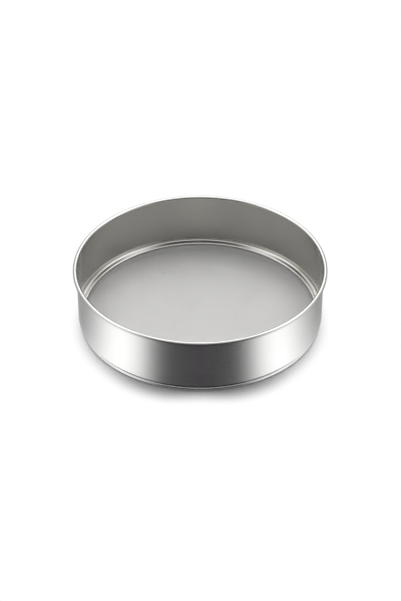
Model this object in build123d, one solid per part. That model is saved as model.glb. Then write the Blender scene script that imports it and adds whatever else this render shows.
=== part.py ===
from build123d import *
import os
from math import asin, atan2, cos, degrees, hypot, pi, sin, sqrt

# A tamis drum sieve: a rolled steel drum with a wired rim, a woven wire cloth
# stretched across it near its foot, and the rings that hold the cloth.
# The origin is the middle of the circle that the foot stands on, and +Z is up.

# Driving sizes, in millimetres and degrees
rim_diameter = 200.0
sieve_height = 50.0
sheet_thickness = 0.5

# Both curls: each closes round a core wire, and its cut edge stops short of the sheet
wire_slip = 0.15
curl_mouth_angle = 60.0
wire_joint_gap = 0.4
weld_width = 0.8

# Rim: the top of the strip is curled outward
rim_wire_diameter = 2.0

# Wall: it leans in a little on its way down, then turns in to a flat seat
wall_draft = 0.85
seat_width = 4.25
seat_bend_radius = 0.2

# Cloth: warp and weft cross, so it is two of its wires thick. Its mesh is too fine for a
# solid, so a coarse grid of openings stands for it, with as much of the cloth open
cloth_wire_diameter = 0.22
cloth_wire_pitch = 0.6
cloth_edge_gap = 0.25
grid_openings_across = 12
grid_edge_gap = 1.0
smallest_opening_share = 0.25

# Clamp ring: a flat-topped rib against the wall, a sloping flank and a turned-down lip
clamp_width = 4.3
rib_height = 3.1
rib_width = 2.4
leg_bend_radius = 0.28
rib_bend_radius = 0.4
flank_run = 1.1
lip_height = 1.0
web_bend_radius = 0.3
lip_bend_radius = 0.35

# Foot ring: a flange under the seat, a neck and a bead that stands on the bench
foot_wire_diameter = 2.2
foot_inset = 1.4
foot_flat_depth = 0.15
bead_to_flange_gap = 2.05
flange_setback = 1.1
neck_bend_radius = 0.4

# Spot welds through the seat and the flange of the foot ring
spot_weld_count = 24
spot_weld_diameter = 2.0

# Where each joint lies round the drum
wall_seam_azimuth = 180.0
clamp_seam_azimuth = 270.0
foot_seam_azimuth = 90.0
rim_wire_joint_azimuth = 30.0
foot_wire_joint_azimuth = 210.0
full_turn = 360.0

# Worked out from the sizes above
half_sheet = sheet_thickness / 2
curl_turn = full_turn - curl_mouth_angle
rim_radius = rim_diameter / 2
rim_curl_radius = rim_wire_diameter / 2 + wire_slip + half_sheet
rim_curl_centre_r = rim_radius - rim_curl_radius - half_sheet
rim_curl_centre_z = sieve_height - rim_curl_radius - half_sheet
wall_inner_radius = rim_curl_centre_r - rim_curl_radius - half_sheet - wall_draft
wall_outer_radius = wall_inner_radius + sheet_thickness
foot_curl_radius = foot_wire_diameter / 2 + wire_slip + half_sheet
foot_curl_centre_r = wall_outer_radius - foot_inset - foot_curl_radius - half_sheet
foot_curl_centre_z = foot_curl_radius + half_sheet - foot_flat_depth
foot_bead_top = foot_curl_centre_z + foot_curl_radius + half_sheet
neck_middle_r = foot_curl_centre_r - foot_curl_radius
flange_middle_z = foot_bead_top + bead_to_flange_gap + half_sheet
flange_end_r = wall_outer_radius - flange_setback
seat_middle_z = flange_middle_z + sheet_thickness
seat_height = seat_middle_z + half_sheet
seat_end_r = wall_inner_radius - seat_width
cloth_thickness = 2 * cloth_wire_diameter
cloth_top = seat_height + cloth_thickness
grid_radius = min(seat_end_r, wall_inner_radius - clamp_width) - grid_edge_gap
grid_pitch = 2 * grid_radius / grid_openings_across
grid_opening = grid_pitch * (cloth_wire_pitch - cloth_wire_diameter) / cloth_wire_pitch
spot_weld_circle_radius = (seat_end_r + flange_end_r) / 2


def sheet_section(path):
    """The section of a sheet whose middle follows the path."""
    return trace(path, line_width=sheet_thickness).face()


def round_the_drum(section, start, turn):
    """Turns a section, drawn as radius and height, about the drum's axis from an azimuth."""
    upright = Plane.XZ * section
    return revolve(upright.rotate(Axis.Z, start), axis=Axis.Z, revolution_arc=turn)


def strip_with_weld(section, radius, azimuth):
    """A strip rolled into a ring, and the butt weld that joins its two ends."""
    weld_turn = degrees(weld_width / radius)
    weld_start = azimuth - weld_turn / 2
    strip = round_the_drum(section, weld_start + weld_turn, full_turn - weld_turn)
    weld = round_the_drum(section, weld_start, weld_turn)
    return strip, weld


def core_wire(centre_r, centre_z, diameter, azimuth):
    """A wire hoop inside a curl. Its cut ends meet with a small gap."""
    gap_turn = degrees(wire_joint_gap / centre_r)
    section = Pos(centre_r, centre_z) * Circle(diameter / 2)
    return round_the_drum(section.face(), azimuth + gap_turn / 2, full_turn - gap_turn)


def wall_section():
    """Seat, bend, leaning wall and outward curl, in one strip."""
    corner = (wall_inner_radius + half_sheet, seat_middle_z)
    run_out = rim_curl_centre_r - corner[0]
    rise = rim_curl_centre_z - corner[1]
    corner_to_curl = hypot(run_out, rise)
    wall_run = sqrt(corner_to_curl**2 - rim_curl_radius**2)
    lean = atan2(rise, run_out) + asin(rim_curl_radius / corner_to_curl)
    top = (corner[0] + wall_run * cos(lean), corner[1] + wall_run * sin(lean))
    bend = seat_bend_radius + half_sheet
    straight = FilletPolyline((seat_end_r, seat_middle_z), corner, top, radius=bend)
    curl = JernArc(top, (cos(lean), sin(lean)), rim_curl_radius, -curl_turn)
    return sheet_section(Curve() + [straight, curl])


def clamp_section():
    """Outer leg, rib, flank, web and lip of the clamp ring. Leg and lip stand on the cloth."""
    leg_r = wall_inner_radius - half_sheet
    lip_r = wall_inner_radius - clamp_width + half_sheet
    rib_z = cloth_top + rib_height - half_sheet
    web_z = cloth_top + lip_height - half_sheet
    rib_inner_r = leg_r - rib_width + sheet_thickness
    path = FilletPolyline(
        (leg_r, cloth_top),
        (leg_r, rib_z),
        (rib_inner_r, rib_z),
        (rib_inner_r - flank_run, web_z),
        (lip_r, web_z),
        (lip_r, cloth_top),
        radius=[leg_bend_radius, rib_bend_radius, web_bend_radius, lip_bend_radius],
    )
    return sheet_section(path)


def foot_section():
    """Flange, neck and outward bead of the foot ring, dressed flat underneath."""
    neck_foot = (neck_middle_r, foot_curl_centre_z)
    bend = neck_bend_radius + half_sheet
    flange_end = (flange_end_r, flange_middle_z)
    neck_top = (neck_middle_r, flange_middle_z)
    straight = FilletPolyline(flange_end, neck_top, neck_foot, radius=bend)
    bead = JernArc(neck_foot, (0, -1), foot_curl_radius, curl_turn)
    section = sheet_section(Curve() + [straight, bead])
    below = Pos(foot_curl_centre_r, -foot_curl_radius) * Rectangle(4 * foot_curl_radius, 2 * foot_curl_radius)
    return (Sketch() + section - below).face()


def spot_welds():
    """The welds' nuggets, each as thick as the two sheets that it joins."""
    nuggets = []
    for step in range(spot_weld_count):
        azimuth = (step + 1 / 2) * 2 * pi / spot_weld_count
        east = spot_weld_circle_radius * cos(azimuth)
        north = spot_weld_circle_radius * sin(azimuth)
        nugget = Cylinder(spot_weld_diameter / 2, 2 * sheet_thickness)
        nuggets.append(Pos(east, north, seat_height - sheet_thickness) * nugget)
    return nuggets


def mesh_cloth():
    """The cloth's disc with its grid of openings. Its cut edge lies under the clamp ring."""
    square = Rectangle(grid_opening, grid_opening)
    grid = GridLocations(grid_pitch, grid_pitch, grid_openings_across, grid_openings_across)
    openings = (Sketch() + [place * square for place in grid]) & Circle(grid_radius)
    smallest = smallest_opening_share * grid_opening**2
    kept = [opening for opening in openings.faces() if opening.area > smallest]
    disc = Sketch() + Circle(wall_inner_radius - cloth_edge_gap) - kept
    return Pos(0, 0, seat_height) * extrude(disc.face(), cloth_thickness)


nuggets = spot_welds()
drum_wall, wall_seam_weld = strip_with_weld(wall_section(), wall_outer_radius, wall_seam_azimuth)
clamp_ring, clamp_seam_weld = strip_with_weld(clamp_section(), wall_inner_radius, clamp_seam_azimuth)
foot_ring, foot_seam_weld = strip_with_weld(foot_section(), foot_curl_centre_r, foot_seam_azimuth)
pieces = {
    "drum_wall": drum_wall - nuggets,
    "wall_seam_weld": wall_seam_weld,
    "rim_wire": core_wire(rim_curl_centre_r, rim_curl_centre_z, rim_wire_diameter, rim_wire_joint_azimuth),
    "mesh_cloth": mesh_cloth(),
    "clamp_ring": clamp_ring,
    "clamp_seam_weld": clamp_seam_weld,
    "foot_ring": foot_ring - nuggets,
    "foot_seam_weld": foot_seam_weld,
    "foot_wire": core_wire(foot_curl_centre_r, foot_curl_centre_z, foot_wire_diameter, foot_wire_joint_azimuth),
    "spot_welds": Compound(nuggets),
}
os.makedirs("parts", exist_ok=True)
for name, piece in pieces.items():
    export_step(piece, f"parts/{name}.step")
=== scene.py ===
import cmath
import math

import bmesh
import bpy
import numpy as np
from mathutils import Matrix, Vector


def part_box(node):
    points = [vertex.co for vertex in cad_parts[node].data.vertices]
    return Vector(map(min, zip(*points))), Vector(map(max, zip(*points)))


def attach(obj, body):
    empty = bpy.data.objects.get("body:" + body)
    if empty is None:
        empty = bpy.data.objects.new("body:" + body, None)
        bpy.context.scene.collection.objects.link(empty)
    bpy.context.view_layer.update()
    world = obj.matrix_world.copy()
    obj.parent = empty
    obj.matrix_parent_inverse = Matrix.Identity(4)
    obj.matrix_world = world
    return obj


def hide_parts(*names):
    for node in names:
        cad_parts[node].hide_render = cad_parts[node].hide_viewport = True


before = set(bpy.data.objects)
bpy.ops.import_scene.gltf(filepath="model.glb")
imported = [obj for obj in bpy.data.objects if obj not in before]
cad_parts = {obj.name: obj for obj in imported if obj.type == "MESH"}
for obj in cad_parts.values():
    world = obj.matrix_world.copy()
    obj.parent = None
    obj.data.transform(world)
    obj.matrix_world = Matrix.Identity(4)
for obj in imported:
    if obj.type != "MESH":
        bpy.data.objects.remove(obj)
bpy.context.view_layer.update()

# Drum wall: one strip of bright stainless sheet, rolled into a hoop. Its top is curled outward
# round a core wire into the rim bead, and its foot is folded in to make the seat of the cloth.
# It was rolled lengthwise, so its fine grain runs round the drum. Its outside and bead are polished.
# Its inside and its bead have darker colours than its outside, of the same steel, as painted shade.
mm = 0.001
sheet = 0.5 * mm
half_sheet = sheet / 2
round_steps = 360
bend_step = math.radians(9)
edge_steps = 6
sharp_angle = math.radians(50)
weld_width = 0.8 * mm
wall_seam_azimuth = math.radians(180)
seat_width = 4.25 * mm
seat_bend = 0.45 * mm
curl_turn = math.radians(300)


def radii(node):
    """Smallest and largest distance of a frame node's corners from the drum's axis."""
    reach = [corner.co.xy.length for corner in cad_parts[node].data.vertices]
    return min(reach), max(reach)


def heights(node):
    """Lowest and highest point of a frame node."""
    low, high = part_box(node)
    return low.z, high.z


def wire_centre(node):
    """Where a hoop's wire runs: its distance from the axis and its height, as one complex number."""
    return complex(sum(radii(node)) / 2, sum(heights(node)) / 2)


def unit(step):
    return step / abs(step)


def arc(start, heading, radius, turn):
    """Places and headings on an arc that leaves start along heading; a positive turn goes left."""
    centre = start + heading * 1j * math.copysign(radius, turn)
    steps = math.ceil(abs(turn) / bend_step)
    spins = [cmath.rect(1, turn * step / steps) for step in range(steps + 1)]
    return [(centre + (start - centre) * spin, heading * spin) for spin in spins]


def bent_line(corners, bends):
    """Places and headings along straight runs that are joined by bends of the given radii."""
    line = [(corners[0], unit(corners[1] - corners[0]))]
    for before, corner, after, bend in zip(corners, corners[1:], corners[2:], bends):
        into, out = unit(corner - before), unit(after - corner)
        turn = cmath.phase(out / into)
        line += arc(corner - into * bend * math.tan(abs(turn) / 2), into, bend, turn)
    return line + [(corners[-1], unit(corners[-1] - corners[-2]))]


def sheet_outline(line):
    """The outline of a sheet whose middle follows the line, with its two cut edges dressed round."""
    left = [place + heading * 1j * half_sheet for place, heading in line]
    right = [place - heading * 1j * half_sheet for place, heading in reversed(line)]
    edge = [cmath.rect(half_sheet, math.pi * (0.5 - step / edge_steps)) for step in range(1, edge_steps)]
    (first, start), (last, end) = line[0], line[-1]
    return left + [last + end * place for place in edge] + right + [first - start * place for place in edge]


def new_piece(name, points, faces, finish_of_face=None):
    """A smooth object that rides on the sieve, from points, faces and each face's material number."""
    mesh = bpy.data.meshes.new(name)
    mesh.from_pydata(points, [], faces)
    shell = bmesh.new()
    shell.from_mesh(mesh)
    bmesh.ops.recalc_face_normals(shell, faces=shell.faces)
    shell.to_mesh(mesh)
    shell.free()
    mesh.shade_smooth()
    mesh.set_sharp_from_angle(angle=sharp_angle)
    if finish_of_face:
        mesh.polygons.foreach_set("material_index", finish_of_face)
    piece = bpy.data.objects.new(name, mesh)
    bpy.context.scene.collection.objects.link(piece)
    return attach(piece, "root")


def turned_piece(name, outline, start, turn, finish_of_side=None):
    """A closed outline of radius and height, turned about the drum's axis and closed at both ends."""
    steps = max(2, round(round_steps * turn / math.tau))
    sides = len(outline)
    points = []
    for step in range(steps + 1):
        way = cmath.rect(1, start + turn * step / steps)
        points += [(way.real * spot.real, way.imag * spot.real, spot.imag) for spot in outline]
    faces = []
    for step in range(steps):
        here = step * sides
        for side in range(sides):
            after = (side + 1) % sides
            faces.append((here + side, here + after, here + sides + after, here + sides + side))
    ends = [tuple(range(sides)), tuple(range(steps * sides, (steps + 1) * sides))]
    finishes = (finish_of_side or [0] * sides) * steps + [0, 0]
    return new_piece(name, points, faces + ends, finishes)


def strip_and_weld(strip, weld, outline, radius, azimuth, finish_of_side=None):
    """A strip rolled into a hoop and the butt weld that closes it, each standing for its frame node."""
    weld_turn = weld_width / radius
    start = azimuth + weld_turn / 2
    hoop = turned_piece(strip + "_sheet", outline, start, math.tau - weld_turn, finish_of_side)
    bead = turned_piece(weld + "_bead", outline, start - weld_turn, weld_turn, finish_of_side)
    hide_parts(strip)
    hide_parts(weld)
    return hoop, bead


rim_centre = wire_centre("rim_wire")
rim_radius = radii("drum_wall")[1]
rim_curl = rim_radius - half_sheet - rim_centre.real
wall_inner = radii("clamp_ring")[1]
seat_middle = heights("drum_wall")[0] + half_sheet
wall_foot = complex(wall_inner + half_sheet, seat_middle)
seat_edge = complex(wall_inner - seat_width + half_sheet, seat_middle)
foot_to_rim = rim_centre - wall_foot
wall_run = math.sqrt(abs(foot_to_rim) ** 2 - rim_curl**2)
wall_heading = unit(foot_to_rim) * cmath.rect(1, math.asin(rim_curl / abs(foot_to_rim)))
wall_top = wall_foot + wall_heading * wall_run
wall_line = bent_line([seat_edge, wall_foot, wall_top], [seat_bend])[:-1]
bead_start = len(wall_line)
wall_line += arc(wall_top, wall_heading, rim_curl, half_sheet / rim_curl - curl_turn)
wall_outline = sheet_outline(wall_line)
inner_side, outer_side, bead_side = 0, 1, 2
wall_sides = [inner_side] * bead_start + [bead_side] * (len(wall_line) - bead_start)
wall_sides += [outer_side] * (len(wall_outline) - len(wall_line))
drum_wall, wall_weld = strip_and_weld(
    "drum_wall", "wall_seam_weld", wall_outline, wall_inner, wall_seam_azimuth, wall_sides
)


def new_group(name, inputs, outputs):
    """An empty node group with the given number inputs and outputs, and its two end nodes."""
    group = bpy.data.node_groups.new(name, "ShaderNodeTree")
    for label, value in inputs.items():
        group.interface.new_socket(label, in_out="INPUT", socket_type="NodeSocketFloat").default_value = value
    for label, kind in outputs.items():
        group.interface.new_socket(label, in_out="OUTPUT", socket_type=kind)
    return group, group.nodes.new("NodeGroupInput"), group.nodes.new("NodeGroupOutput")


def add(tree, kind, links=None, **settings):
    """A node with its settings; links name its input sockets and give a source socket or a value."""
    node = tree.nodes.new(kind)
    for key, value in settings.items():
        setattr(node, key, value)
    for key, source in (links or {}).items():
        if isinstance(source, bpy.types.NodeSocket):
            tree.links.new(source, node.inputs[key])
        else:
            node.inputs[key].default_value = source
    return node


def sums(tree, operation, *terms):
    """The result of one Math node."""
    return add(tree, "ShaderNodeMath", dict(enumerate(terms)), operation=operation).outputs[0]


def ramp(tree, value, low, high, to_low, to_high):
    """A value spread from one range to another."""
    links = {"Value": value, "From Min": low, "From Max": high, "To Min": to_low, "To Max": to_high}
    return add(tree, "ShaderNodeMapRange", links).outputs[0]


def smooth(tree, value, low, high):
    """A value spread from 0 at low to 1 at high, easing in and out."""
    links = {"Value": value, "From Min": low, "From Max": high}
    return add(tree, "ShaderNodeMapRange", links, interpolation_type="SMOOTHSTEP").outputs[0]


def from_axis(tree, x, y):
    """Distance from the drum's axis."""
    return sums(tree, "SQRT", sums(tree, "ADD", sums(tree, "POWER", x, 2.0), sums(tree, "POWER", y, 2.0)))


def build_rolled_grain():
    """Fine lines that run round the drum, long this way and thin across, as rolling leaves them."""
    group, given, out = new_group(
        "rolled_grain", {"Lines": 4000.0, "Length": 6.0, "Seed": 0.0}, {"Grain": "NodeSocketFloat"}
    )
    place = add(group, "ShaderNodeTexCoord").outputs["Object"]
    x, y, z = add(group, "ShaderNodeSeparateXYZ", {0: place}).outputs
    around = sums(group, "MULTIPLY", sums(group, "ARCTAN2", y, x), given.outputs["Length"])
    across = sums(group, "MULTIPLY", from_axis(group, x, y), given.outputs["Lines"])
    up = sums(group, "MULTIPLY", z, given.outputs["Lines"])
    spot = add(group, "ShaderNodeCombineXYZ", {0: around, 1: across, 2: up}).outputs[0]
    noise = add(
        group,
        "ShaderNodeTexNoise",
        {"Vector": spot, "W": given.outputs["Seed"], "Scale": 1.0, "Detail": 3.0, "Roughness": 0.6},
        noise_dimensions="4D",
    )
    group.links.new(noise.outputs[0], out.inputs["Grain"])
    return group


def build_handling():
    """Faint patches where hands, cloths and wash water have dulled the steel, from 0 to 1."""
    group, given, out = new_group(
        "handling", {"Size": 40.0, "Sharpness": 0.25, "Seed": 0.0}, {"Smudge": "NodeSocketFloat"}
    )
    place = add(group, "ShaderNodeTexCoord").outputs["Object"]
    broad = add(
        group,
        "ShaderNodeTexNoise",
        {
            "Vector": place,
            "W": given.outputs["Seed"],
            "Scale": given.outputs["Size"],
            "Detail": 4.0,
            "Roughness": 0.55,
            "Distortion": 0.6,
        },
        noise_dimensions="4D",
    )
    half_band = sums(group, "MULTIPLY", given.outputs["Sharpness"], 0.5)
    low, high = sums(group, "SUBTRACT", 0.5, half_band), sums(group, "ADD", 0.5, half_band)
    group.links.new(smooth(group, broad.outputs[0], low, high), out.inputs["Smudge"])
    return group


rolled_grain = build_rolled_grain()
handling = build_handling()
grain_share = 0.6
grain_low, grain_high = 0.3, 0.7


def placed(tree, group, **values):
    """A shared effect placed in a material with that material's own values."""
    node = tree.nodes.new("ShaderNodeGroup")
    node.node_tree = group
    for key, value in values.items():
        node.inputs[key].default_value = value
    return node.outputs[0]


def steel(name, clean, worn, roughness, streak, lines, length, patch_size, patch_edge, dulling, depth, seed):
    """Bright steel: grain and handling marks vary its colour and roughness, and the grain its surface."""
    finish = bpy.data.materials.new(name)
    finish.use_nodes = True
    tree = finish.node_tree
    shader = tree.nodes["Principled BSDF"]
    grain = placed(tree, rolled_grain, Lines=lines, Length=length, Seed=seed)
    smudge = placed(tree, handling, Size=patch_size, Sharpness=patch_edge, Seed=seed)
    from_grain = sums(tree, "MULTIPLY", grain, grain_share)
    mixed = sums(tree, "ADD", from_grain, sums(tree, "MULTIPLY", smudge, 1 - grain_share))
    colour = add(tree, "ShaderNodeMix", {0: mixed}, data_type="RGBA")
    colour.inputs["A"].default_value = (*worn, 1)
    colour.inputs["B"].default_value = (*clean, 1)
    tree.links.new(colour.outputs["Result"], shader.inputs["Base Color"])
    grain_rough = ramp(tree, grain, grain_low, grain_high, *roughness)
    rough = sums(tree, "ADD", grain_rough, sums(tree, "MULTIPLY", smudge, dulling))
    tree.links.new(rough, shader.inputs["Roughness"])
    shader.inputs["Metallic"].default_value = 1.0
    shader.inputs["Anisotropic"].default_value = streak
    shader.inputs["Anisotropic Rotation"].default_value = 0.25
    across = add(tree, "ShaderNodeTangent", direction_type="RADIAL", axis="Z")
    tree.links.new(across.outputs[0], shader.inputs["Tangent"])
    bump = add(tree, "ShaderNodeBump", {"Height": grain, "Strength": 1.0, "Distance": depth})
    tree.links.new(bump.outputs[0], shader.inputs["Normal"])
    return finish


# Painted shade: the inside of the sheet is given a darker colour than its outside.
shaded_inner_steel = steel(
    "drum_inside_satin_painted_shade", clean=(0.482, 0.473, 0.440), worn=(0.402, 0.395, 0.370), roughness=(0.16, 0.22),
    streak=0.5, lines=5000.0, length=8.0,
    patch_size=30.0, patch_edge=0.4, dulling=0.06, depth=0.0015 * mm, seed=1.0,
)
outer_steel = steel(
    "drum_outside_polish", clean=(0.765, 0.76, 0.755), worn=(0.655, 0.65, 0.645), roughness=(0.25, 0.33),
    streak=0.95, lines=5200.0, length=4.0,
    patch_size=25.0, patch_edge=0.4, dulling=0.03, depth=0.0006 * mm, seed=2.0,
)
# Painted shade: the bead is given a darker colour than the outside polish.
shaded_bead_steel = steel(
    "rim_bead_polish_painted_shade", clean=(0.55, 0.543, 0.53), worn=(0.49, 0.485, 0.475), roughness=(0.11, 0.17),
    streak=0.3, lines=6000.0, length=5.0,
    patch_size=25.0, patch_edge=0.4, dulling=0.04, depth=0.0006 * mm, seed=7.0,
)
weld_steel = steel(
    "ground_weld", clean=(0.66, 0.655, 0.645), worn=(0.58, 0.575, 0.565), roughness=(0.24, 0.32),
    streak=0.5, lines=9000.0, length=20.0,
    patch_size=60.0, patch_edge=0.3, dulling=0.05, depth=0.0008 * mm, seed=3.0,
)
# Painted shade: the seam's inside face gets the same darker colour as the wall's inside.
shaded_inner_seam = steel(
    "seam_inside_satin_painted_shade", clean=(0.49, 0.48, 0.45), worn=(0.43, 0.42, 0.395), roughness=(0.14, 0.20),
    streak=0.5, lines=6000.0, length=10.0,
    patch_size=60.0, patch_edge=0.3, dulling=0.05, depth=0.0008 * mm, seed=8.0,
)
for finish in (shaded_inner_steel, outer_steel, shaded_bead_steel):
    drum_wall.data.materials.append(finish)
for finish in (shaded_inner_seam, weld_steel, weld_steel):
    wall_weld.data.materials.append(finish)

# Core wires: drawn steel wire, bent into two hoops and closed inside the curls of the rim and of
# the foot, where it keeps the thin sheet round. It shows only as a line in each curl's mouth.
drawn_wire = steel(
    "drawn_wire", clean=(0.60, 0.60, 0.59), worn=(0.50, 0.50, 0.49), roughness=(0.30, 0.42),
    streak=0.4, lines=6000.0, length=12.0,
    patch_size=80.0, patch_edge=0.3, dulling=0.06, depth=0.002 * mm, seed=4.0,
)
for node in ("rim_wire", "foot_wire"):
    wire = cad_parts[node]
    wire.data.materials.clear()
    wire.data.materials.append(drawn_wire)

# Foot ring: a second rolled strip of the same stainless sheet. Its flange is spot-welded under the
# seat, its neck stands inside the wall, and its lower edge is curled outward into the bead that
# the sieve stands on.
foot_seam_azimuth = math.radians(90)
neck_bend = 0.65 * mm
foot_centre = wire_centre("foot_wire")
foot_flat = 0.15 * mm
foot_curl = foot_centre.imag - heights("foot_ring")[0] - half_sheet + foot_flat
flange_middle = heights("foot_ring")[1] - half_sheet
flange_end = complex(radii("foot_ring")[1] - half_sheet, flange_middle)
neck_top = complex(foot_centre.real - foot_curl, flange_middle)
neck_foot = complex(neck_top.real, foot_centre.imag)
foot_line = bent_line([flange_end, neck_top, neck_foot], [neck_bend])[:-1]
foot_line += arc(neck_foot, -1j, foot_curl, curl_turn - half_sheet / foot_curl)
foot_outline = [complex(spot.real, max(spot.imag, 0)) for spot in sheet_outline(foot_line)]
foot_ring, foot_weld = strip_and_weld(
    "foot_ring", "foot_seam_weld", foot_outline, foot_centre.real, foot_seam_azimuth
)
foot_steel = steel(
    "foot_satin", clean=(0.72, 0.72, 0.715), worn=(0.64, 0.64, 0.635), roughness=(0.12, 0.20),
    streak=0.3, lines=6000.0, length=10.0,
    patch_size=45.0, patch_edge=0.35, dulling=0.05, depth=0.001 * mm, seed=9.0,
)
foot_ring.data.materials.append(foot_steel)
foot_weld.data.materials.append(weld_steel)

# Spot welds: 24 resistance welds join the seat to the foot ring's flange. The electrodes leave
# each one as a small round spot with a shallow dome on both faces.
spot_count = 24
spot_radius = 1.0 * mm
spot_rise = 0.03 * mm
spot_sides = 20
spot_rings = 4
spot_circle = (seat_edge.real - half_sheet + radii("foot_ring")[1]) / 2
spot_faces_z = heights("foot_ring")[1] - sheet, seat_middle + half_sheet


def spot_nugget(centre, first):
    """Points and faces of one nugget: two shallow domes, back to back."""
    points, faces = [], []
    for face_z, way in zip(spot_faces_z, (-1, 1)):
        for ring in range(spot_rings, 0, -1):
            share = ring / spot_rings
            lift = way * spot_rise * (1 - share**2)
            for side in range(spot_sides):
                out = cmath.rect(spot_radius * share, math.tau * side / spot_sides)
                points.append((centre.real + out.real, centre.imag + out.imag, face_z + lift))
        points.append((centre.real, centre.imag, face_z + way * spot_rise))
    dome = spot_rings * spot_sides + 1
    for base in (first, first + dome):
        for ring in range(spot_rings - 1):
            for side in range(spot_sides):
                here = base + ring * spot_sides + side
                after = base + ring * spot_sides + (side + 1) % spot_sides
                faces.append((here, after, after + spot_sides, here + spot_sides))
        inner = base + (spot_rings - 1) * spot_sides
        for side in range(spot_sides):
            faces.append((inner + side, inner + (side + 1) % spot_sides, base + dome - 1))
    for side in range(spot_sides):
        here, after = first + side, first + (side + 1) % spot_sides
        faces.append((here, after, after + dome, here + dome))
    return points, faces


spot_points, spot_faces = [], []
for spot in range(spot_count):
    centre = cmath.rect(spot_circle, math.tau * (spot + 0.5) / spot_count)
    points, faces = spot_nugget(centre, len(spot_points))
    spot_points += points
    spot_faces += faces
spot_welds = new_piece("spot_weld_marks", spot_points, spot_faces)
spot_welds.data.materials.append(weld_steel)
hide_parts("spot_welds")

# Wire cloth: plain woven stainless wire, 0.22 mm thick at a pitch of 0.6 mm both ways, each wire
# going over one and under the next. It is stretched flat on the seat and cut to a disc. Painted
# shade darkens its colour towards the ring, where the drum's walls shade it.
pitch = 0.6 * mm
cloth_radius = radii("mesh_cloth")[1]
cloth_low, cloth_high = heights("mesh_cloth")
wire_radius = (cloth_high - cloth_low) / 4
cloth_middle = (cloth_low + cloth_high) / 2
strips_each_way = 4
# Painted shade on the cloth: where it darkens towards the ring, and by how much.
outer_part, outer_shade = (60 * mm, 92 * mm), 0.19
beside_ring, ring_shade = (88.5 * mm, 91.5 * mm), 0.28


def woven_wires(name, along_x, first_wire, last_wire):
    """The wires of one direction from the first number to the last, each a four-sided tube in waves."""
    chunks, counts = [], []
    for number in range(first_wire, last_wire):
        offset = number * pitch
        crossings = int(math.sqrt(max(cloth_radius**2 - offset**2, 0)) / pitch)
        if crossings < 1:
            continue
        steps = np.arange(-crossings, crossings + 1)
        over = np.where((steps + number) % 2 == 0, 1.0, -1.0) * (1 if along_x else -1)
        along, height = steps * pitch, cloth_middle + over * wire_radius
        tube = np.empty((len(steps), 4, 3))
        lengthwise, sidewise = (0, 1) if along_x else (1, 0)
        tube[:, :, lengthwise] = along[:, None]
        tube[:, :, sidewise] = offset + np.array([0, wire_radius, 0, -wire_radius])
        tube[:, :, 2] = height[:, None] + np.array([wire_radius, 0, -wire_radius, 0])
        chunks.append(tube.reshape(-1, 3))
        counts.append(len(steps))
    face_rows, first = [], 0
    ring = np.arange(4)
    for count in counts:
        rows = first + 4 * np.arange(count - 1)[:, None]
        quads = np.stack([rows + ring, rows + (ring + 1) % 4, rows + 4 + (ring + 1) % 4, rows + 4 + ring], -1)
        last = first + 4 * (count - 1)
        face_rows += [quads.reshape(-1, 4), [first + ring[::-1]], [last + ring]]
        first += 4 * count
    points, faces = np.concatenate(chunks), np.concatenate(face_rows)
    if not along_x:
        faces = faces[:, ::-1]
    mesh = bpy.data.meshes.new(name)
    mesh.vertices.add(len(points))
    mesh.vertices.foreach_set("co", points.ravel())
    mesh.loops.add(faces.size)
    mesh.loops.foreach_set("vertex_index", faces.ravel())
    mesh.polygons.add(len(faces))
    mesh.polygons.foreach_set("loop_start", np.arange(0, faces.size, 4))
    mesh.update(calc_edges=True)
    mesh.shade_smooth()
    piece = bpy.data.objects.new(name, mesh)
    bpy.context.scene.collection.objects.link(piece)
    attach(piece, "root")
    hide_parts("mesh_cloth")
    return piece


def strip_bounds():
    """Wire numbers that share the disc's wire among the strips in equal lengths."""
    most = int(cloth_radius / pitch)
    numbers = range(-most, most + 1)
    lengths = np.cumsum([math.sqrt(max(cloth_radius**2 - (number * pitch) ** 2, 0)) for number in numbers])
    inner = [
        numbers[int(np.searchsorted(lengths, lengths[-1] * part / strips_each_way))]
        for part in range(1, strips_each_way)
    ]
    return [numbers[0], *inner, numbers[-1] + 1]


def paint_shade_to_the_ring(finish, shade_colour):
    """Mixes painted shade into a finish: a little over the outer part, and more beside the ring, where the
    walls shade the cloth.
    """
    tree = finish.node_tree
    base = tree.nodes["Principled BSDF"].inputs["Base Color"]
    place = add(tree, "ShaderNodeTexCoord").outputs["Object"]
    x, y, _ = add(tree, "ShaderNodeSeparateXYZ", {0: place}).outputs
    reach = from_axis(tree, x, y)
    broad = sums(tree, "MULTIPLY", smooth(tree, reach, *outer_part), outer_shade)
    narrow = sums(tree, "MULTIPLY", smooth(tree, reach, *beside_ring), ring_shade)
    colour = add(tree, "ShaderNodeMix", {0: sums(tree, "ADD", broad, narrow)}, data_type="RGBA")
    tree.links.new(base.links[0].from_socket, colour.inputs["A"])
    colour.inputs["B"].default_value = (*shade_colour, 1)
    tree.links.new(colour.outputs["Result"], base)


cloth_steel = steel(
    "cloth_wire", clean=(0.84, 0.835, 0.83), worn=(0.76, 0.755, 0.75), roughness=(0.22, 0.34),
    streak=0.0, lines=3000.0, length=40.0,
    patch_size=30.0, patch_edge=0.5, dulling=0.08, depth=0.0, seed=6.0,
)
# Painted shade: the cloth's colour darkens towards the ring, where the walls shade it.
paint_shade_to_the_ring(cloth_steel, (0.10, 0.10, 0.095))
edges = strip_bounds()
for part, (first_wire, last_wire) in enumerate(zip(edges, edges[1:])):
    for label, along_x in (("weft", True), ("warp", False)):
        wires = woven_wires(f"cloth_{label}_{part + 1}", along_x, first_wire, last_wire)
        wires.data.materials.append(cloth_steel)

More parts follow.
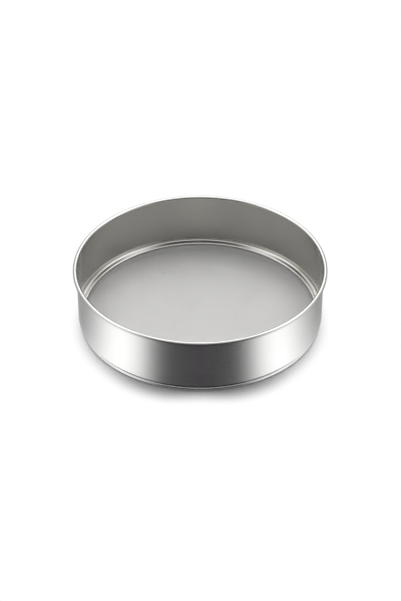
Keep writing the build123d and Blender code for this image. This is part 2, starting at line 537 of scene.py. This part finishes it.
# Clamp ring: a narrow formed strip of stainless sheet that is pressed into the drum. Its outer leg
# and its turned-down lip stand on the cloth's edge, with a rib against the wall and a flat web between.
clamp_seam_azimuth = math.radians(270)
clamp_width = 4.3 * mm
rib_width = 2.4 * mm
flank_run = 1.1 * mm
lip_height = 1.0 * mm
leg_bend, rib_bend, web_bend, lip_bend = 0.28 * mm, 0.4 * mm, 0.3 * mm, 0.35 * mm
clamp_low, clamp_high = heights("clamp_ring")
standing = clamp_low + half_sheet
leg = wall_inner - half_sheet
lip = wall_inner - clamp_width + half_sheet
rib_inner = leg - rib_width + sheet
rib_z = clamp_high - half_sheet
web_z = clamp_low + lip_height - half_sheet
clamp_corners = [
    complex(leg, standing),
    complex(leg, rib_z),
    complex(rib_inner, rib_z),
    complex(rib_inner - flank_run, web_z),
    complex(lip, web_z),
    complex(lip, standing),
]
clamp_outline = sheet_outline(bent_line(clamp_corners, [leg_bend, rib_bend, web_bend, lip_bend]))
clamp_ring, clamp_weld = strip_and_weld(
    "clamp_ring", "clamp_seam_weld", clamp_outline, wall_inner, clamp_seam_azimuth
)
ring_steel = steel(
    "ring_satin", clean=(0.75, 0.74, 0.72), worn=(0.66, 0.65, 0.63), roughness=(0.15, 0.22),
    streak=0.3, lines=6000.0, length=10.0,
    patch_size=45.0, patch_edge=0.35, dulling=0.05, depth=0.0012 * mm, seed=5.0,
)
clamp_ring.data.materials.append(ring_steel)
clamp_weld.data.materials.append(weld_steel)

# Studio: a plain white floor, a white surround, a broad soft box overhead and one at each side.
# Bright steel shows whatever stands round it, so a black card in front and a grey one behind, out
# of sight, give its inside dark bands, and a shaded card on the floor gives its outside the same.
dim, bright = (0.25, 0.25, 0.25, 1), (1, 1, 1, 1)
world = bpy.data.worlds.new("studio")
bpy.context.scene.world = world
world.use_nodes = True
world.cycles.sampling_method = "NONE"


def shows_surround(tree):
    """One where the camera looks, straight or by way of steel or glass, and zero for plain light."""
    sees = add(tree, "ShaderNodeLightPath")
    seen = sums(tree, "MAXIMUM", sees.outputs["Is Camera Ray"], sees.outputs["Is Glossy Ray"])
    return sums(tree, "MAXIMUM", seen, sees.outputs["Is Transmission Ray"])


tree = world.node_tree
surround = add(tree, "ShaderNodeMix", {0: shows_surround(tree)}, data_type="RGBA")
surround.inputs["A"].default_value = dim
surround.inputs["B"].default_value = bright
tree.links.new(surround.outputs["Result"], tree.nodes["Background"].inputs["Color"])


def stage_piece(name, points, faces):
    """A piece of the studio: it is seen or reflected, and is no part of the sieve."""
    mesh = bpy.data.meshes.new(name)
    mesh.from_pydata(points, [], faces)
    piece = bpy.data.objects.new(name, mesh)
    bpy.context.scene.collection.objects.link(piece)
    return piece


def stage_paint(name):
    """A material with no surface shader yet, its tree, and the place in metres that it is asked for."""
    paint = bpy.data.materials.new(name)
    paint.use_nodes = True
    paint.cycles.emission_sampling = "NONE"
    tree = paint.node_tree
    tree.nodes.remove(tree.nodes["Principled BSDF"])
    return paint, tree, add(tree, "ShaderNodeTexCoord").outputs["Object"]


def azimuth_from_front(tree, place, apex_y):
    """How far a place lies to either side of the front, seen from a point on the middle line, in degrees."""
    x, y, _ = add(tree, "ShaderNodeSeparateXYZ", {0: place}).outputs
    front = sums(tree, "SUBTRACT", apex_y, y)
    side = sums(tree, "ABSOLUTE", sums(tree, "ARCTAN2", x, front))
    return sums(tree, "MULTIPLY", side, math.degrees(1))


def length_of(tree, vector):
    return add(tree, "ShaderNodeVectorMath", {0: vector}, operation="LENGTH").outputs["Value"]


# Painted shadow falloff: near the foot the floor shows its real shadow, and a painted falloff, shifted
# towards the front and reaching further in two lobes to either side of it, blends that into plain white.
floor_reach = 8.0
shade_shift = 0, 8 * mm, 0
shade_edge = 84 * mm, 104 * mm
lobe_rise, lobe_fall, lobe_depth = (0, 18), (22, 52), 4.2 * mm
foot_circle = 94 * mm, 96 * mm
corners = (-1, -1), (1, -1), (1, 1), (-1, 1)
floor = stage_piece("floor", [(floor_reach * x, floor_reach * y, 0) for x, y in corners], [(0, 1, 2, 3)])
floor_paint, tree, place = stage_paint("floor_white")
matt = add(tree, "ShaderNodeBsdfDiffuse", {"Color": (0.95, 0.95, 0.95, 1)})
glow = add(tree, "ShaderNodeEmission", {"Color": bright, "Strength": 1.0})
ahead = add(tree, "ShaderNodeVectorMath", {0: place, 1: shade_shift}, operation="ADD").outputs["Vector"]
side = azimuth_from_front(tree, place, apex_y=0.0)
lobe = sums(tree, "SUBTRACT", smooth(tree, side, *lobe_rise), smooth(tree, side, *lobe_fall))
reach = sums(tree, "SUBTRACT", length_of(tree, ahead), sums(tree, "MULTIPLY", lobe, lobe_depth))
outside = smooth(tree, length_of(tree, place), *foot_circle)
away = sums(tree, "MULTIPLY", smooth(tree, reach, *shade_edge), outside)
white = sums(tree, "MULTIPLY", shows_surround(tree), away)
blend = add(tree, "ShaderNodeMixShader", {0: white, 1: matt.outputs[0], 2: glow.outputs[0]})
tree.links.new(blend.outputs[0], tree.nodes["Material Output"].inputs["Surface"])
floor.data.materials.append(floor_paint)


def only_reflected(card):
    """Hides a card from everything but the steel that mirrors it."""
    card.visible_camera = card.visible_diffuse = card.visible_transmission = False
    card.visible_volume_scatter = card.visible_shadow = False


def shaded_card(card, paint, tree, tone, strength, cover):
    """Gives a card its tone where it covers, and lets what is behind it show elsewhere."""
    glow = add(tree, "ShaderNodeEmission", {"Color": tone, "Strength": strength})
    clear = add(tree, "ShaderNodeBsdfTransparent")
    blend = add(tree, "ShaderNodeMixShader", {0: cover, 1: clear.outputs[0], 2: glow.outputs[0]})
    tree.links.new(blend.outputs[0], tree.nodes["Material Output"].inputs["Surface"])
    card.data.materials.append(paint)
    only_reflected(card)


card_radius = 1.5
curtain_steps = 24


def curtain(name, height, middle, half_turn, tone, side_edges, top_edges):
    """A bent upright card round the sieve, with soft sides and a soft top. Turns and edges are in degrees."""
    points = []
    for step in range(curtain_steps + 1):
        turn = math.radians(middle - 90 + half_turn * (2 * step / curtain_steps - 1))
        points += [(card_radius * math.cos(turn), card_radius * math.sin(turn), z) for z in (0, height)]
    faces = [(2 * step, 2 * step + 2, 2 * step + 3, 2 * step + 1) for step in range(curtain_steps)]
    card = stage_piece(name, points, faces)
    paint, tree, place = stage_paint(name + "_paint")
    side = azimuth_from_front(tree, place, apex_y=0.0)
    if middle:
        side = sums(tree, "SUBTRACT", 180.0, side)
    up = add(tree, "ShaderNodeSeparateXYZ", {0: place}).outputs[2]
    rise = sums(tree, "MULTIPLY", sums(tree, "ARCTAN2", up, card_radius), math.degrees(1))
    inside = sums(tree, "SUBTRACT", 1.0, smooth(tree, side, *side_edges))
    below = sums(tree, "SUBTRACT", 1.0, smooth(tree, rise, *top_edges))
    shaded_card(card, paint, tree, tone, strength=1.0, cover=sums(tree, "MULTIPLY", inside, below))


black, grey = (0.058, 0.058, 0.057, 1), (0.42, 0.42, 0.42, 1)
curtain("front_card", height=3.0, middle=0, half_turn=75, tone=black, side_edges=(30, 62), top_edges=(36, 46))
curtain("back_card", height=1.0, middle=180, half_turn=70, tone=grey, side_edges=(25, 65), top_edges=(8, 25))

card_inner, card_fade, card_outer = 97.5 * mm, 0.5, 0.9
card_height = 0.4 * mm
card_steps = 72
card_strength = 1.65
points, faces = [], []
for step in range(card_steps):
    way = cmath.rect(1, math.tau * step / card_steps)
    points += [(way.real * reach, way.imag * reach, card_height) for reach in (card_inner, card_outer)]
for step in range(card_steps):
    here, after = 2 * step, 2 * ((step + 1) % card_steps)
    faces.append((here, here + 1, after + 1, after))
floor_card = stage_piece("floor_card", points, faces)
paint, tree, place = stage_paint("floor_card_shades")
side = azimuth_from_front(tree, place, apex_y=-rim_radius / 2)
bands = add(tree, "ShaderNodeValToRGB", {0: sums(tree, "DIVIDE", side, 180.0)})
stops = [
    (0, 0.039), (24, 0.049), (36, 0.097), (46, 0.32), (56, 0.73), (68, 0.98),
    (80, 0.93), (92, 0.65), (107, 0.29), (122, 0.17), (140, 0.3), (180, 0.34),
]
shades = bands.color_ramp
shades.interpolation = "B_SPLINE"
violet = 0.005
for number, (turn, tone) in enumerate(stops):
    stop = shades.elements[number] if number < 2 else shades.elements.new(turn / 180)
    stop.position = turn / 180
    tint = 0 if number else violet
    stop.color = (tone, tone - tint, tone + tint / 2, 1)
cover = sums(tree, "SUBTRACT", 1.0, smooth(tree, length_of(tree, place), card_fade, card_outer))
shaded_card(floor_card, paint, tree, bands.outputs[0], card_strength, cover)


def soft_box(name, width, height, place, aim, radiance):
    """A soft box of one even brightness that points at a place."""
    lamp = bpy.data.lights.new(name, "AREA")
    lamp.shape = "RECTANGLE"
    lamp.size, lamp.size_y = width, height
    lamp.energy = radiance * math.pi * width * height
    box = bpy.data.objects.new(name, lamp)
    box.location = place
    box.rotation_euler = (Vector(aim) - Vector(place)).to_track_quat("-Z", "Y").to_euler()
    box.visible_camera = False
    bpy.context.scene.collection.objects.link(box)


soft_box("overhead_box", width=1.8, height=1.4, place=(0, 1.0, 1.5), aim=(0, 0, 0), radiance=1.8)
for side, label in ((-1, "left"), (1, "right")):
    beside = 1.2 * side, 0.1, 1.3
    soft_box(f"{label}_box", width=1.0, height=0.8, place=beside, aim=(0, 0, 0.03), radiance=1.2)

# Camera: it looks down at the sieve as the photograph does, from well back with a long lens.
view_height = math.radians(35.8)
view_distance = 2.5
lens_mm = 190.6
sensor_mm = 36
aim_below = math.radians(0.5734)
aim_right = math.radians(0.0072)
rim_middle = Vector((0, 0, rim_centre.imag))
lens = bpy.data.cameras.new("camera")
lens.lens = lens_mm
lens.sensor_width = sensor_mm
camera = bpy.data.objects.new("camera", lens)
camera.location = rim_middle + view_distance * Vector((0, -math.cos(view_height), math.sin(view_height)))
camera.rotation_euler = (math.radians(90) - view_height - aim_below, 0, -aim_right)
bpy.context.scene.collection.objects.link(camera)
bpy.context.scene.camera = camera
bpy.context.scene.view_settings.view_transform = "Standard"
